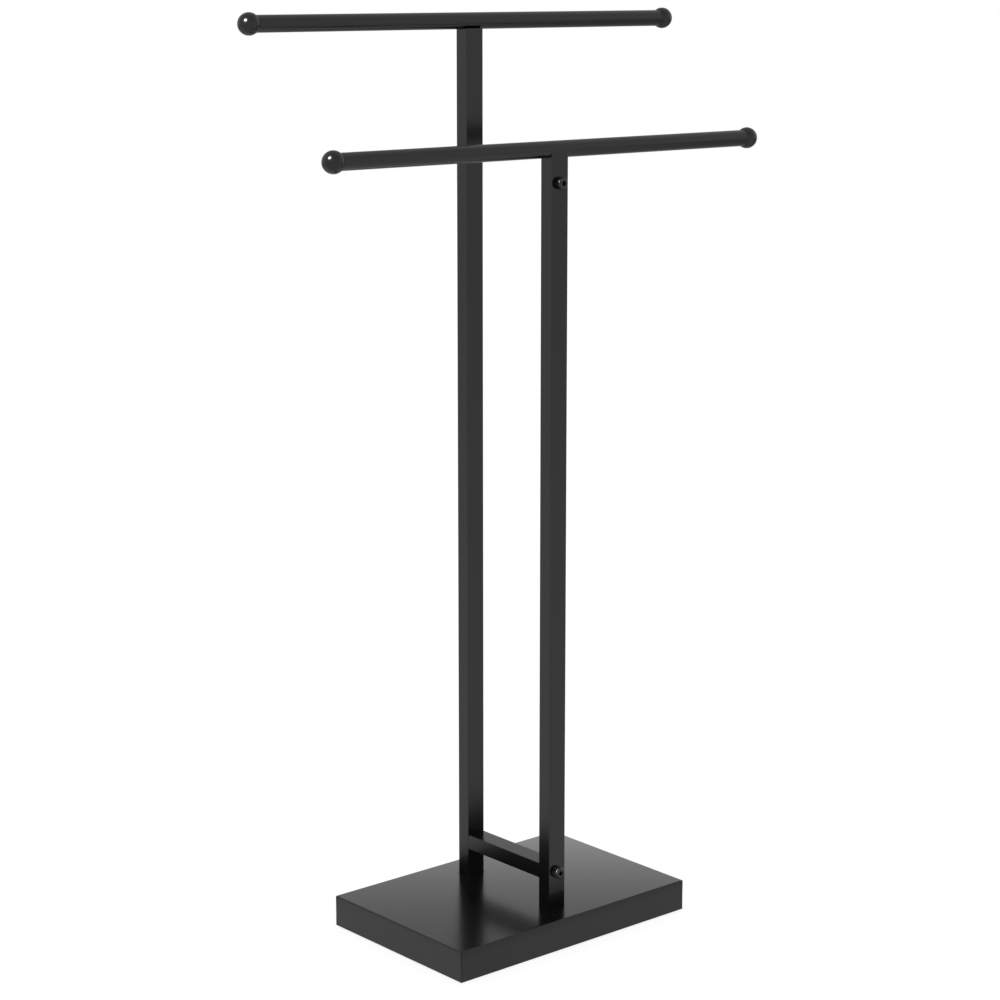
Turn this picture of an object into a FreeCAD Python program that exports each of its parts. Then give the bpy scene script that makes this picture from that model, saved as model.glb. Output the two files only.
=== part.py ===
import FreeCAD, Part
import enum
import math
import os
import Sketcher
from FreeCAD import Placement, Rotation, Vector

# A free-standing towel stand: a weighted slab base, a tall rear post and a shorter front post of
# rectangular tube, a stretcher between them near the base, and one round rail with ball ends
# across the notched top of each post.
#
# The frame: the origin is on the floor under the middle of the base, +X runs along the rails,
# +Y points to the back and +Z up. Everything is in millimetres.

SIZES = {
    # the base: a folded sheet shell over a cast ballast, closed by a plate from below
    "base_width": 330,
    "base_depth": 220,
    "base_height": 34.5,
    "base_sheet": 1.5,
    "base_edge": 1.5,
    "plate_recess": 4,
    "plate_thickness": 2,
    "plate_gap": 0.5,
    "plate_corner": 2,
    "ballast_gap": 0.5,
    "ballast_corner": 4,
    # the four feet, each held by a screw into an insert cast into the ballast
    "foot_gap": 2,
    "foot_inset": 32,
    "foot_diameter": 24,
    "foot_chamfer": 1,
    "foot_web": 2,
    "foot_bore_gap": 1.5,
    "foot_screw_grip": 10,
    "foot_insert_wall": 2,
    "foot_insert_room": 2,
    # the posts
    "post_spacing": 138,
    "post_width": 23,
    "post_depth": 17,
    "post_wall": 1.5,
    "post_corner": 1,
    "foot_plug_drop": 8,
    "anchor_tip_gap": 5,
    "anchor_seat_depth": 14,
    "anchor_seat_gap": 1,
    "anchor_washer_diameter": 22,
    "anchor_washer_thickness": 2,
    # the stretcher between the posts
    "stretcher_rise": 32,
    "stretcher_height": 17,
    "stretcher_wall": 1.5,
    "stretcher_plug_length": 20,
    "stretcher_tip_gap": 2,
    # the rails and their ball ends
    "front_rail_height": 871,
    "rear_rail_height": 1002,
    "rail_diameter": 18,
    "rail_wall": 1.2,
    "rail_length": 565,
    "rail_bevel": 0.4,
    "ball_lip": 2.75,
    "end_plug_length": 15,
    "end_stud_diameter": 6,
    "end_stud_length": 20,
    "end_stud_chamfer": 0.6,
    "end_stud_room": 1,
    "rail_screw_drop": 35,
    "rail_stub_tail": 15,
    "rail_screw_tip_gap": 2,
    # the socket-head screws, their heads rounded: large ones in the frame, small ones in the feet
    "frame_screw_diameter": 8,
    "frame_screw_head_diameter": 13,
    "frame_screw_head_height": 6.5,
    "frame_screw_head_round": 2,
    "frame_screw_socket_width": 5,
    "frame_screw_socket_depth": 3,
    "foot_screw_diameter": 5,
    "foot_screw_head_diameter": 9,
    "foot_screw_head_height": 2.8,
    "foot_screw_head_round": 0.5,
    "foot_screw_socket_width": 3,
    "foot_screw_socket_depth": 1.6,
    "screw_point_chamfer": 0.8,
    # clearances between mating pieces, on each side
    "plug_gap": 0.1,
    "hole_gap": 0.3,
    "thread_gap": 0.05,
    "saddle_gap": 0.05,
}

# Lengths worked out from the sizes, as expressions for the document.
BASE_TOP = "(Sizes.foot_gap + Sizes.base_height)"
FOOT_HEIGHT = "(Sizes.foot_gap + Sizes.plate_recess)"
BALLAST_FLOOR = f"({FOOT_HEIGHT} + Sizes.plate_thickness)"
BALLAST_HEIGHT = f"({BASE_TOP} - Sizes.base_sheet - {BALLAST_FLOOR})"
FOOT_X = "(Sizes.base_width / 2 - Sizes.foot_inset)"
FOOT_Y = "(Sizes.base_depth / 2 - Sizes.foot_inset)"
FOOT_INSERT_DIAMETER = "(Sizes.foot_screw_diameter + 2 * Sizes.foot_insert_wall)"
FOOT_INSERT_LENGTH = "(Sizes.foot_screw_grip + Sizes.foot_insert_room)"
POST_Y = "(Sizes.post_spacing / 2)"
POST_FACE_Y = f"({POST_Y} + Sizes.post_depth / 2)"
STRETCHER_END_Y = f"({POST_Y} - Sizes.post_depth / 2)"
STRETCHER_AXIS = f"({BASE_TOP} + Sizes.stretcher_rise + Sizes.stretcher_height / 2)"
POST_BORE_WIDTH = "(Sizes.post_width - 2 * Sizes.post_wall)"
POST_BORE_DEPTH = "(Sizes.post_depth - 2 * Sizes.post_wall)"
STRETCHER_BORE_WIDTH = "(Sizes.post_width - 2 * Sizes.stretcher_wall)"
STRETCHER_BORE_HEIGHT = "(Sizes.stretcher_height - 2 * Sizes.stretcher_wall)"
FOOT_PLUG_LENGTH = "(Sizes.stretcher_rise - Sizes.foot_plug_drop)"
ANCHOR_SEAT = f"({BALLAST_FLOOR} + Sizes.anchor_seat_depth)"
ANCHOR_HEAD = f"({ANCHOR_SEAT} - Sizes.anchor_washer_thickness)"
ANCHOR_LENGTH = f"({BASE_TOP} + {FOOT_PLUG_LENGTH} - Sizes.anchor_tip_gap - {ANCHOR_HEAD})"
STRETCHER_SCREW_LENGTH = (
    "(Sizes.post_depth + Sizes.stretcher_plug_length - Sizes.stretcher_tip_gap)"
)
RAIL_SCREW_LENGTH = "(Sizes.post_depth - Sizes.post_wall - Sizes.rail_screw_tip_gap)"
SADDLE_RADIUS = "(Sizes.rail_diameter / 2 + Sizes.saddle_gap)"
# how far below the rail's axis the saddle cuts the post's inner faces
SADDLE_DROP = f"sqrt(max({SADDLE_RADIUS}^2 - ({POST_BORE_DEPTH} / 2)^2; 0))"
RAIL_BORE_RADIUS = "(Sizes.rail_diameter / 2 - Sizes.rail_wall)"
RAIL_END_X = "(Sizes.rail_length / 2)"
BALL_RADIUS = "(Sizes.rail_diameter / 2 + Sizes.ball_lip)"
# the flat seat on a ball is as wide as the tube, so this is how far its centre stands beyond it
BALL_CENTRE = f"sqrt({BALL_RADIUS}^2 - (Sizes.rail_diameter / 2)^2)"

X_AXIS = Vector(1, 0, 0)
Y_AXIS = Vector(0, 1, 0)
Z_AXIS = Vector(0, 0, 1)
# A piece drawn along +Z is turned to point outwards at its end of the stand.
POINTING = {
    "front": Rotation(X_AXIS, 90),
    "rear": Rotation(X_AXIS, -90),
    "left": Rotation(Y_AXIS, -90),
    "right": Rotation(Y_AXIS, 90),
    "down": Rotation(X_AXIS, 180),
}
# A piece drawn with its outer face towards -Y is turned to face outwards.
FACING = {"front": Rotation(), "rear": Rotation(Z_AXIS, 180)}
SIGN = {"front": "-", "rear": "+", "left": "-", "right": "+"}
RAIL_HEIGHT = {"front": "Sizes.front_rail_height", "rear": "Sizes.rear_rail_height"}


class Axis(enum.IntEnum):
    """The numbers that a sketch knows its own axes by."""

    HORIZONTAL = -1
    VERTICAL = -2


class Point(enum.IntEnum):
    """The numbers that a sketch knows the points of a line, an arc or a circle by."""

    START = 1
    END = 2
    CENTRE = 3


# a sketch's origin is the first point of its horizontal axis
ORIGIN = (Axis.HORIZONTAL, Point.START)

doc = FreeCAD.newDocument("towel_stand")
sheet = doc.addObject("Spreadsheet::Sheet", "Sizes")
for row, (name, size) in enumerate(SIZES.items(), 1):
    sheet.set(f"A{row}", name)
    sheet.set(f"B{row}", str(size))
    sheet.setAlias(f"B{row}", name)
doc.recompute()


def number(expression):
    """What an expression comes to now, so that a sketch is drawn near its final place."""
    return float(sheet.evalExpression(expression))


def new_body(label):
    body = doc.addObject("PartDesign::Body", label)
    body.Label = label
    return body


def place(body, x="0", y="0", z="0", turn=Rotation()):
    body.Placement = Placement(Vector(), turn)
    for axis, expression in zip("xyz", (x, y, z)):
        body.setExpression(f"Placement.Base.{axis}", expression)


def new_sketch(body, name, role="XY_Plane"):
    sketch = body.newObject("Sketcher::SketchObject", name)
    plane = next(f for f in body.Origin.OriginFeatures if f.Role == role)
    sketch.AttachmentSupport = (plane, [""])
    sketch.MapMode = "FlatFace"
    return sketch


def constrain(sketch, kind, *where):
    return sketch.addConstraint(Sketcher.Constraint(kind, *where))


def dimension(sketch, expression, kind, *where):
    """A dimension that follows an expression."""
    index = constrain(sketch, kind, *where, number(expression))
    sketch.setExpression(f"Constraints[{index}]", expression)


def locate(sketch, x, y, *point):
    """Holds a point of a sketch at a place measured from its origin."""
    for kind, axis, expression in (
        ("DistanceX", Axis.VERTICAL, x),
        ("DistanceY", Axis.HORIZONTAL, y),
    ):
        if expression == "0":
            constrain(sketch, "PointOnObject", *point, axis)
        else:
            dimension(sketch, expression, kind, *ORIGIN, *point)


def draw_lines(sketch, points):
    """A closed run of lines through points, joined end to end. Gives the lines' numbers."""
    ends = points[1:] + points[:1]
    lines = [
        sketch.addGeometry(Part.LineSegment(Vector(*a, 0), Vector(*b, 0)), False)
        for a, b in zip(points, ends)
    ]
    for line, following in zip(lines, lines[1:] + lines[:1]):
        constrain(sketch, "Coincident", line, Point.END, following, Point.START)
    return lines


def rectangle(sketch, width, height):
    """A rectangle about the sketch's origin."""
    x = number(width) / 2
    y = number(height) / 2
    bottom, right, top, left = draw_lines(sketch, [(-x, -y), (x, -y), (x, y), (-x, y)])
    for line in (bottom, top):
        constrain(sketch, "Horizontal", line)
    for line in (left, right):
        constrain(sketch, "Vertical", line)
    constrain(sketch, "Symmetric", bottom, Point.START, top, Point.START, *ORIGIN)
    dimension(sketch, width, "DistanceX", bottom, Point.START, bottom, Point.END)
    dimension(sketch, height, "DistanceY", right, Point.START, right, Point.END)


def rounded_rectangle(sketch, width, height, radius):
    """A rectangle about the sketch's origin with four equal round corners."""
    x = number(width) / 2
    y = number(height) / 2
    r = number(radius)
    sides = []
    corners = []
    for quarter in range(4):
        turn = Rotation(Z_AXIS, 90 * quarter)
        across, up = (x, y) if quarter % 2 == 0 else (y, x)
        start, end, centre = (
            turn.multVec(Vector(*point, 0))
            for point in ((r - across, -up), (across - r, -up), (across - r, r - up))
        )
        sides.append(sketch.addGeometry(Part.LineSegment(start, end), False))
        circle_of_corner = Part.Circle(centre, Z_AXIS, r)
        first = math.radians(90 * quarter - 90)
        arc = Part.ArcOfCircle(circle_of_corner, first, first + math.pi / 2)
        corners.append(sketch.addGeometry(arc, False))
    for side, corner, following in zip(sides, corners, sides[1:] + sides[:1]):
        constrain(sketch, "Tangent", side, Point.END, corner, Point.START)
        constrain(sketch, "Tangent", corner, Point.END, following, Point.START)
    for corner in corners[1:]:
        constrain(sketch, "Equal", corners[0], corner)
    bottom, right, top, left = sides
    for side in (bottom, top):
        constrain(sketch, "Horizontal", side)
    for side in (left, right):
        constrain(sketch, "Vertical", side)
    constrain(sketch, "Symmetric", corners[0], Point.CENTRE, corners[2], Point.CENTRE, *ORIGIN)
    dimension(sketch, radius, "Radius", corners[0])
    dimension(sketch, width, "DistanceX", left, Point.START, right, Point.START)
    dimension(sketch, height, "DistanceY", bottom, Point.START, top, Point.START)


def circle(sketch, diameter, x="0", y="0"):
    centre = Vector(number(x), number(y), 0)
    index = sketch.addGeometry(Part.Circle(centre, Z_AXIS, number(diameter) / 2), False)
    dimension(sketch, diameter, "Diameter", index)
    locate(sketch, x, y, index, Point.CENTRE)


def pad(body, sketch, length, downwards=False, both_ways=False):
    feature = body.newObject("PartDesign::Pad", "Pad")
    feature.Profile = sketch
    feature.setExpression("Length", length)
    feature.Reversed = downwards
    feature.SideType = "Symmetric" if both_ways else "One side"
    doc.recompute()
    return feature


def pocket(body, sketch, length=None, upwards=False, both_ways=False):
    """Cuts a sketch out of a body, right through it where no length is given."""
    before = body.Shape.Volume
    feature = body.newObject("PartDesign::Pocket", "Pocket")
    feature.Profile = sketch
    feature.Reversed = upwards
    feature.SideType = "Symmetric" if both_ways else "One side"
    if length:
        feature.setExpression("Length", length)
    else:
        feature.Type = "ThroughAll"
    doc.recompute()
    if not body.Shape.Volume < before:
        raise RuntimeError(f"{body.Label}: {sketch.Label} cuts nothing")


def round_off(body, is_sharp, radius):
    """Rounds the edges of a body's last feature that pass a test."""
    solid = body.Tip
    feature = body.newObject("PartDesign::Fillet", "Rounded")
    feature.Base = (
        solid,
        [f"Edge{index}" for index, edge in enumerate(solid.Shape.Edges, 1) if is_sharp(edge)],
    )
    feature.setExpression("Radius", radius)
    doc.recompute()


def revolve(body, sketch):
    """Turns a sketch of radii and heights about the body's Z axis."""
    feature = body.newObject("PartDesign::Revolution", "Revolution")
    feature.Profile = sketch
    feature.ReferenceAxis = (sketch, ["V_Axis"])
    feature.Angle = 360
    doc.recompute()


def turned(label, outline):
    """A body turned about its Z axis from (radius, height) corners."""
    body = new_body(label)
    sketch = new_sketch(body, "Outline", "XZ_Plane")
    lines = draw_lines(sketch, [(number(r), number(height)) for r, height in outline])
    for line, (r, height) in zip(lines, outline):
        locate(sketch, r, height, line, Point.START)
    revolve(body, sketch)
    return body


def cap_screw(label, kind, length):
    """A socket-head screw, its round head standing on the XY plane and its shank below it."""
    radius = f"Sizes.{kind}_diameter / 2"
    head_radius = f"Sizes.{kind}_head_diameter / 2"
    head_height = f"Sizes.{kind}_head_height"
    body = turned(
        label,
        [
            ("0", f"-{length}"),
            (f"{radius} - Sizes.screw_point_chamfer", f"-{length}"),
            (radius, f"Sizes.screw_point_chamfer - {length}"),
            (radius, "0"),
            (head_radius, "0"),
            (head_radius, head_height),
            ("0", head_height),
        ],
    )
    half_way_up = number(head_height) / 2
    round_off(
        body, lambda edge: edge.BoundBox.ZMin > half_way_up, f"Sizes.{kind}_head_round"
    )
    before = body.Shape.Volume
    socket = body.newObject("PartDesign::SubtractivePrism", "Socket")
    socket.Polygon = 6
    socket.setExpression("Circumradius", f"Sizes.{kind}_socket_width / sqrt(3)")
    socket.setExpression("Height", f"Sizes.{kind}_socket_depth")
    plane = next(f for f in body.Origin.OriginFeatures if f.Role == "XY_Plane")
    socket.AttachmentSupport = (plane, [""])
    socket.MapMode = "FlatFace"
    socket.setExpression(
        "AttachmentOffset.Base.z", f"{head_height} - Sizes.{kind}_socket_depth"
    )
    doc.recompute()
    if not body.Shape.Volume < before:
        raise RuntimeError(f"{label}: the socket cuts nothing")
    return body


def tapped_plug(label, width, height, length):
    """A block that fills a tube's mouth at the XY plane, tapped along its length."""
    body = new_body(label)
    section = new_sketch(body, "Section")
    rectangle(section, f"{width} - 2 * Sizes.plug_gap", f"{height} - 2 * Sizes.plug_gap")
    circle(section, "Sizes.frame_screw_diameter + 2 * Sizes.thread_gap")
    pad(body, section, length, downwards=True)
    return body


def base_shell():
    body = new_body("base_shell")
    plan = new_sketch(body, "Plan")
    rectangle(plan, "Sizes.base_width", "Sizes.base_depth")
    block = pad(body, plan, "Sizes.base_height")
    quarter_way_up = (block.Shape.BoundBox.ZMin + block.Shape.BoundBox.Center.z) / 2
    round_off(body, lambda edge: edge.CenterOfMass.z > quarter_way_up, "Sizes.base_edge")
    inside = new_sketch(body, "Inside")
    rectangle(
        inside,
        "Sizes.base_width - 2 * Sizes.base_sheet",
        "Sizes.base_depth - 2 * Sizes.base_sheet",
    )
    pocket(body, inside, "Sizes.base_height - Sizes.base_sheet", upwards=True)
    holes = new_sketch(body, "AnchorHoles")
    for side in ("front", "rear"):
        clearance_hole(holes, "frame_screw", "0", SIGN[side] + POST_Y)
    pocket(body, holes, upwards=True)
    place(body, z="Sizes.foot_gap")


def base_ballast():
    body = new_body("base_ballast")
    plan = new_sketch(body, "Plan")
    wall = "2 * (Sizes.base_sheet + Sizes.ballast_gap)"
    rounded_rectangle(
        plan, f"Sizes.base_width - {wall}", f"Sizes.base_depth - {wall}", "Sizes.ballast_corner"
    )
    pad(body, plan, BALLAST_HEIGHT)
    through = new_sketch(body, "AnchorHoles")
    seats = new_sketch(body, "AnchorSeats")
    seat_diameter = "Sizes.anchor_washer_diameter + 2 * Sizes.anchor_seat_gap"
    for side in ("front", "rear"):
        clearance_hole(through, "frame_screw", "0", SIGN[side] + POST_Y)
        circle(seats, seat_diameter, "0", SIGN[side] + POST_Y)
    pocket(body, through, upwards=True)
    pocket(body, seats, "Sizes.anchor_seat_depth", upwards=True)
    inserts = new_sketch(body, "InsertHoles")
    for _, x, y in corners():
        circle(inserts, f"{FOOT_INSERT_DIAMETER} + 2 * Sizes.thread_gap", x, y)
    pocket(body, inserts, FOOT_INSERT_LENGTH, upwards=True)
    place(body, z=BALLAST_FLOOR)


def base_bottom_plate():
    body = new_body("base_bottom_plate")
    plan = new_sketch(body, "Plan")
    wall = "2 * (Sizes.base_sheet + Sizes.plate_gap)"
    rounded_rectangle(
        plan, f"Sizes.base_width - {wall}", f"Sizes.base_depth - {wall}", "Sizes.plate_corner"
    )
    for _, x, y in corners():
        clearance_hole(plan, "foot_screw", x, y)
    pad(body, plan, "Sizes.plate_thickness")
    place(body, z=FOOT_HEIGHT)


def corners():
    """The name and place of each foot."""
    for side in ("front", "rear"):
        for end in ("left", "right"):
            yield f"{side}_{end}", SIGN[end] + FOOT_X, SIGN[side] + FOOT_Y


def clearance_hole(sketch, kind, x, y):
    circle(sketch, f"Sizes.{kind}_diameter + 2 * Sizes.hole_gap", x, y)


def foot(corner, x, y):
    """A rubber foot, its screw and the insert that the screw holds in."""
    bore = "(Sizes.foot_screw_head_diameter / 2 + Sizes.foot_bore_gap)"
    hole = "(Sizes.foot_screw_diameter / 2 + Sizes.hole_gap)"
    seat = f"({FOOT_HEIGHT} - Sizes.foot_web)"
    pad_of_rubber = turned(
        f"{corner}_foot",
        [
            (bore, "0"),
            ("Sizes.foot_diameter / 2 - Sizes.foot_chamfer", "0"),
            ("Sizes.foot_diameter / 2", "Sizes.foot_chamfer"),
            ("Sizes.foot_diameter / 2", FOOT_HEIGHT),
            (hole, FOOT_HEIGHT),
            (hole, seat),
            (bore, seat),
        ],
    )
    place(pad_of_rubber, x, y)
    length = "(Sizes.foot_web + Sizes.plate_thickness + Sizes.foot_screw_grip)"
    screw = cap_screw(f"{corner}_foot_screw", "foot_screw", length)
    place(screw, x, y, seat, POINTING["down"])
    inner = "(Sizes.foot_screw_diameter / 2 + Sizes.thread_gap)"
    outer = f"({FOOT_INSERT_DIAMETER} / 2)"
    insert = turned(
        f"{corner}_foot_insert",
        [(inner, "0"), (outer, "0"), (outer, FOOT_INSERT_LENGTH), (inner, FOOT_INSERT_LENGTH)],
    )
    place(insert, x, y, BALLAST_FLOOR)


def post(side):
    """A rectangular tube, its top notched to carry the rail, with the screws in its outer face."""
    axis = f"({RAIL_HEIGHT[side]} - {BASE_TOP})"
    body = new_body(f"{side}_post")
    section = new_sketch(body, "Section")
    rounded_rectangle(section, "Sizes.post_width", "Sizes.post_depth", "Sizes.post_corner")
    rectangle(section, POST_BORE_WIDTH, POST_BORE_DEPTH)
    pad(body, section, f"{axis} - {SADDLE_DROP}")
    saddle = new_sketch(body, "Saddle", "YZ_Plane")
    circle(saddle, f"2 * {SADDLE_RADIUS}", "0", axis)
    pocket(body, saddle, both_ways=True)
    stretcher_hole = new_sketch(body, "StretcherScrewHole", "XZ_Plane")
    clearance_hole(stretcher_hole, "frame_screw", "0", f"{STRETCHER_AXIS} - {BASE_TOP}")
    pocket(body, stretcher_hole, both_ways=True)
    rail_hole = new_sketch(body, "RailScrewHole", "XZ_Plane")
    clearance_hole(rail_hole, "frame_screw", "0", f"{axis} - Sizes.rail_screw_drop")
    pocket(body, rail_hole, upwards=True)
    place(body, y=SIGN[side] + POST_Y, z=BASE_TOP, turn=FACING[side])


def post_anchor(side):
    """What holds a post to the base: a plug in its foot, and a screw and washer from below."""
    y = SIGN[side] + POST_Y
    plug = tapped_plug(
        f"{side}_post_foot_plug", POST_BORE_WIDTH, POST_BORE_DEPTH, FOOT_PLUG_LENGTH
    )
    place(plug, y=y, z=BASE_TOP, turn=POINTING["down"])
    screw = cap_screw(f"{side}_anchor_screw", "frame_screw", ANCHOR_LENGTH)
    place(screw, y=y, z=ANCHOR_HEAD, turn=POINTING["down"])
    inner = "(Sizes.frame_screw_diameter / 2 + Sizes.hole_gap)"
    outer = "(Sizes.anchor_washer_diameter / 2)"
    thickness = "Sizes.anchor_washer_thickness"
    washer = turned(
        f"{side}_anchor_washer",
        [(inner, "0"), (outer, "0"), (outer, thickness), (inner, thickness)],
    )
    place(washer, y=y, z=ANCHOR_HEAD)


def stretcher():
    body = new_body("stretcher")
    section = new_sketch(body, "Section", "XZ_Plane")
    rounded_rectangle(
        section, "Sizes.post_width", "Sizes.stretcher_height", "Sizes.post_corner"
    )
    rectangle(section, STRETCHER_BORE_WIDTH, STRETCHER_BORE_HEIGHT)
    pad(body, section, f"2 * {STRETCHER_END_Y}", both_ways=True)
    place(body, z=STRETCHER_AXIS)


def stretcher_joint(side):
    """A tapped plug in the stretcher's end and the screw that comes through the post."""
    plug = tapped_plug(
        f"{side}_stretcher_plug",
        STRETCHER_BORE_WIDTH,
        STRETCHER_BORE_HEIGHT,
        "Sizes.stretcher_plug_length",
    )
    place(plug, y=SIGN[side] + STRETCHER_END_Y, z=STRETCHER_AXIS, turn=POINTING[side])
    screw = cap_screw(f"{side}_stretcher_screw", "frame_screw", STRETCHER_SCREW_LENGTH)
    place(screw, y=SIGN[side] + POST_FACE_Y, z=STRETCHER_AXIS, turn=POINTING[side])


def rail_joint(side):
    """The stub under the rail that stands in the post's top, and the screw that holds it there."""
    stub = new_body(f"{side}_rail_stub")
    section = new_sketch(stub, "Section")
    rectangle(
        section,
        f"{POST_BORE_WIDTH} - 2 * Sizes.plug_gap",
        f"{POST_BORE_DEPTH} - 2 * Sizes.plug_gap",
    )
    length = "Sizes.rail_screw_drop + Sizes.rail_stub_tail"
    pad(stub, section, length, downwards=True)
    saddle = new_sketch(stub, "Saddle", "YZ_Plane")
    circle(saddle, f"2 * {SADDLE_RADIUS}")
    pocket(stub, saddle, both_ways=True)
    tapped = new_sketch(stub, "ScrewHole", "XZ_Plane")
    circle(
        tapped,
        "Sizes.frame_screw_diameter + 2 * Sizes.thread_gap",
        "0",
        "-Sizes.rail_screw_drop",
    )
    pocket(stub, tapped, both_ways=True)
    y = SIGN[side] + POST_Y
    place(stub, y=y, z=RAIL_HEIGHT[side], turn=FACING[side])
    screw = cap_screw(f"{side}_rail_screw", "frame_screw", RAIL_SCREW_LENGTH)
    height = f"{RAIL_HEIGHT[side]} - Sizes.rail_screw_drop"
    place(screw, y=SIGN[side] + POST_FACE_Y, z=height, turn=POINTING[side])


def rail(side):
    outer = "(Sizes.rail_diameter / 2)"
    length = "Sizes.rail_length"
    body = turned(
        f"{side}_rail",
        [
            (RAIL_BORE_RADIUS, "0"),
            (f"{outer} - Sizes.rail_bevel", "0"),
            (outer, "Sizes.rail_bevel"),
            (outer, f"{length} - Sizes.rail_bevel"),
            (f"{outer} - Sizes.rail_bevel", length),
            (RAIL_BORE_RADIUS, length),
        ],
    )
    place(body, f"-{RAIL_END_X}", SIGN[side] + POST_Y, RAIL_HEIGHT[side], POINTING["right"])


def ball(label):
    """A ball with a flat seat on the XY plane as wide as the rail, and a blind tapped hole."""
    body = new_body(label)
    sketch = new_sketch(body, "Outline", "XZ_Plane")
    hole_radius = "(Sizes.end_stud_diameter / 2 + Sizes.thread_gap)"
    hole_depth = "(Sizes.end_stud_length / 2 + Sizes.end_stud_room)"
    hole = number(hole_radius)
    depth = number(hole_depth)
    seat_radius = number("Sizes.rail_diameter / 2")
    radius = number(BALL_RADIUS)
    centre = number(BALL_CENTRE)
    skin = sketch.addGeometry(
        Part.ArcOfCircle(
            Part.Circle(Vector(0, centre, 0), Z_AXIS, radius),
            -math.atan2(centre, seat_radius),
            math.pi / 2,
        ),
        False,
    )
    points = [(0, centre + radius), (0, depth), (hole, depth), (hole, 0), (seat_radius, 0)]
    axis, floor, wall, seat = (
        sketch.addGeometry(Part.LineSegment(Vector(*a, 0), Vector(*b, 0)), False)
        for a, b in zip(points, points[1:])
    )
    chain = [skin, axis, floor, wall, seat]
    for line, following in zip(chain, chain[1:] + chain[:1]):
        constrain(sketch, "Coincident", line, Point.END, following, Point.START)
    constrain(sketch, "Vertical", axis)
    constrain(sketch, "Vertical", wall)
    constrain(sketch, "Horizontal", floor)
    constrain(sketch, "Horizontal", seat)
    constrain(sketch, "PointOnObject", axis, Point.END, Axis.VERTICAL)
    constrain(sketch, "PointOnObject", seat, Point.START, Axis.HORIZONTAL)
    locate(sketch, "0", BALL_CENTRE, skin, Point.CENTRE)
    dimension(sketch, BALL_RADIUS, "Radius", skin)
    dimension(sketch, hole_radius, "DistanceX", *ORIGIN, wall, Point.START)
    dimension(sketch, hole_depth, "DistanceY", *ORIGIN, axis, Point.END)
    revolve(body, sketch)
    return body


def rail_end(side, end):
    """A ball on a rail's end, with the plug in the tube and the stud that joins the two."""
    x = SIGN[end] + RAIL_END_X
    y = SIGN[side] + POST_Y
    z = RAIL_HEIGHT[side]
    name = f"{side}_rail_{end}"
    place(ball(f"{name}_ball"), x, y, z, POINTING[end])
    outer = f"({RAIL_BORE_RADIUS} - Sizes.thread_gap)"
    inner = "(Sizes.end_stud_diameter / 2 + Sizes.thread_gap)"
    bottom = "-Sizes.end_plug_length"
    plug = turned(
        f"{name}_end_plug", [(inner, bottom), (outer, bottom), (outer, "0"), (inner, "0")]
    )
    place(plug, x, y, z, POINTING[end])
    radius = "(Sizes.end_stud_diameter / 2)"
    half = "(Sizes.end_stud_length / 2)"
    chamfer = "Sizes.end_stud_chamfer"
    stud = turned(
        f"{name}_end_stud",
        [
            ("0", f"-{half}"),
            (f"{radius} - {chamfer}", f"-{half}"),
            (radius, f"{chamfer} - {half}"),
            (radius, f"{half} - {chamfer}"),
            (f"{radius} - {chamfer}", half),
            ("0", half),
        ],
    )
    place(stud, x, y, z, POINTING[end])


def check_everything():
    """Stops before anything is written if an object failed or a piece isn't one sound solid."""
    doc.recompute()
    for thing in doc.Objects:
        if "Invalid" in thing.State or "Error" in thing.State:
            raise RuntimeError(f"{thing.Label}: {thing.State}")
    for body in bodies():
        shape = body.Shape
        if shape.isNull() or not shape.isValid() or len(shape.Solids) != 1:
            raise RuntimeError(f"{body.Label} isn't one sound solid")


def bodies():
    return [thing for thing in doc.Objects if thing.TypeId == "PartDesign::Body"]


base_shell()
base_ballast()
base_bottom_plate()
for corner_name, corner_x, corner_y in corners():
    foot(corner_name, corner_x, corner_y)
stretcher()
for side_name in ("front", "rear"):
    post(side_name)
    post_anchor(side_name)
    stretcher_joint(side_name)
    rail_joint(side_name)
    rail(side_name)
    for end_name in ("left", "right"):
        rail_end(side_name, end_name)
check_everything()

os.makedirs("parts", exist_ok=True)
for body in bodies():
    body.Shape.exportStep(os.path.join("parts", body.Label + ".step"))
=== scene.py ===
# %% [markdown]
# # A freestanding towel stand
# The stand is steel under a satin black powder coat: a heavy slab for a base, a tall post and a
# shorter one of rectangular tube, a cross tube near the floor, and one round rail with ball ends
# on each post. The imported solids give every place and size, so this file only models the same
# pieces more finely, gives them their finishes, and lights them as in a white studio. Blender
# counts in metres, so a size that is given in millimetres is multiplied by MM.

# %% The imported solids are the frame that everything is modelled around
import math
import bmesh
import bpy
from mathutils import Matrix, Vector


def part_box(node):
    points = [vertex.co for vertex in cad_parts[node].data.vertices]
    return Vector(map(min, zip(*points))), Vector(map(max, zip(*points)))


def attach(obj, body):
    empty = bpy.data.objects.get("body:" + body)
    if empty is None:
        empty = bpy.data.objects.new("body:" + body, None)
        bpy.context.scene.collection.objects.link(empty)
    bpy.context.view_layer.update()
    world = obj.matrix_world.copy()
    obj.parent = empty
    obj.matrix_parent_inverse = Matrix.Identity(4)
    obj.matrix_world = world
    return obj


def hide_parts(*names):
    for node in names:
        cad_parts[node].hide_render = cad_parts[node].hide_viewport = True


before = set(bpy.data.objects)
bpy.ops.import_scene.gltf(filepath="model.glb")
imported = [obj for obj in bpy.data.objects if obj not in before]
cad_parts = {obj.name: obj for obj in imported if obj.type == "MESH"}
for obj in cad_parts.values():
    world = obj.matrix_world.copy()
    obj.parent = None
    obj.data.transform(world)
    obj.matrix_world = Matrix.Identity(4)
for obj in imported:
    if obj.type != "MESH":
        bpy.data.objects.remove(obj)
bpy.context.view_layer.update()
bpy.ops.object.select_all(action="DESELECT")
bpy.context.scene.view_settings.view_transform = "Standard"

MM = 0.001

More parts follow.
